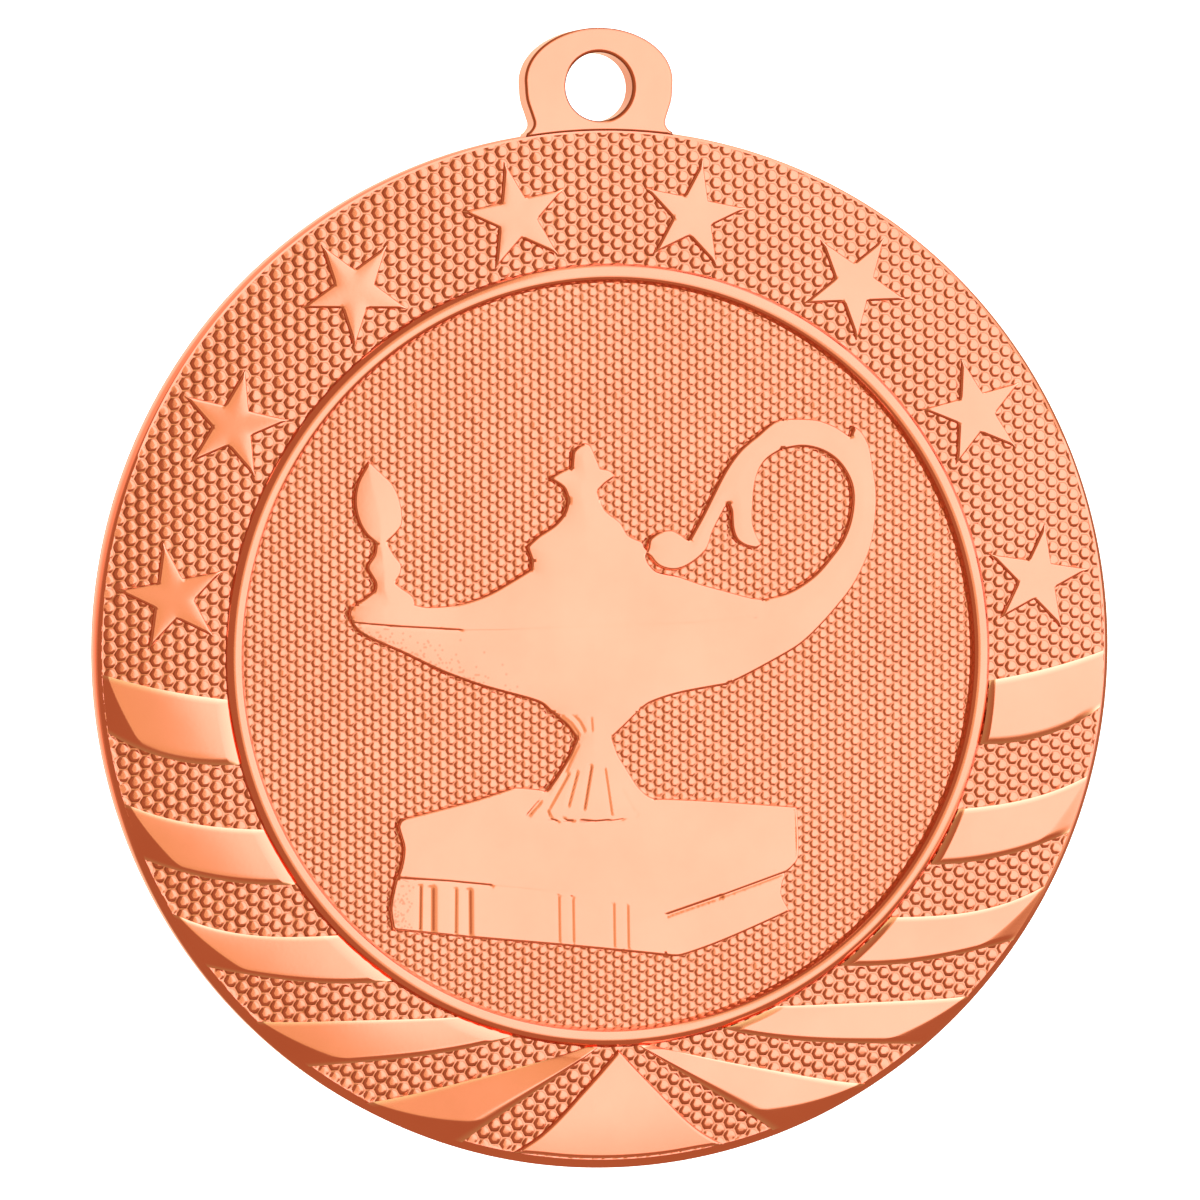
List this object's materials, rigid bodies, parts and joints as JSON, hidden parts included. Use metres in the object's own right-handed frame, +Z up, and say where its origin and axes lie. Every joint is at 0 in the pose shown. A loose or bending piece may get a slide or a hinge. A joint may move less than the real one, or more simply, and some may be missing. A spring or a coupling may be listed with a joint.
{
  "type": "award medal",
  "caption": "Round cast award medal: a beaded disc with stars, rays and a ringed oil lamp on books, hung by a flat pierced lug.",
  "frame": {"origin": "centre of the ribbon hole, midway through the lug", "axes": "+Z up from the disc to the lug, obverse faces -Y, +X to the viewer's right when facing the obverse"},
  "size_m": [0.0509, 0.0024, 0.0558],
  "materials": {
    "bronze_blank": "polished copper-bronze plating",
    "bronze_beading": "beaded copper-bronze plating",
    "bronze_relief": "polished copper-bronze plating, softly rounded relief"
  },
  "bodies": {
    "root": {"burner": "bronze_relief", "centre_field": "bronze_beading", "flame": "bronze_relief", "handle_arm": "bronze_relief", "handle_scroll": "bronze_relief", "inner_ring": "bronze_relief", "lamp_bowl": "bronze_relief", "lamp_foot": "bronze_relief", "lamp_lid": "bronze_relief", "lamp_shoulder": "bronze_relief", "lid_finial": "bronze_relief", "lower_book_pages": "bronze_relief", "lower_book_spine": "bronze_relief", "outer_field": "bronze_beading", "planchet": "bronze_blank", "ray_bottom": "bronze_relief", "ray_left_1": "bronze_relief", "ray_left_2": "bronze_relief", "ray_left_3": "bronze_relief", "ray_left_4": "bronze_relief", "ray_left_5": "bronze_relief", "ray_right_1": "bronze_relief", "ray_right_2": "bronze_relief", "ray_right_3": "bronze_relief", "ray_right_4": "bronze_relief", "ray_right_5": "bronze_relief", "star_1": "bronze_relief", "star_2": "bronze_relief", "star_3": "bronze_relief", "star_4": "bronze_relief", "star_5": "bronze_relief", "star_6": "bronze_relief", "star_7": "bronze_relief", "star_8": "bronze_relief", "suspension_lug": "bronze_blank", "upper_book": "bronze_relief"}
  },
  "joints": []
}
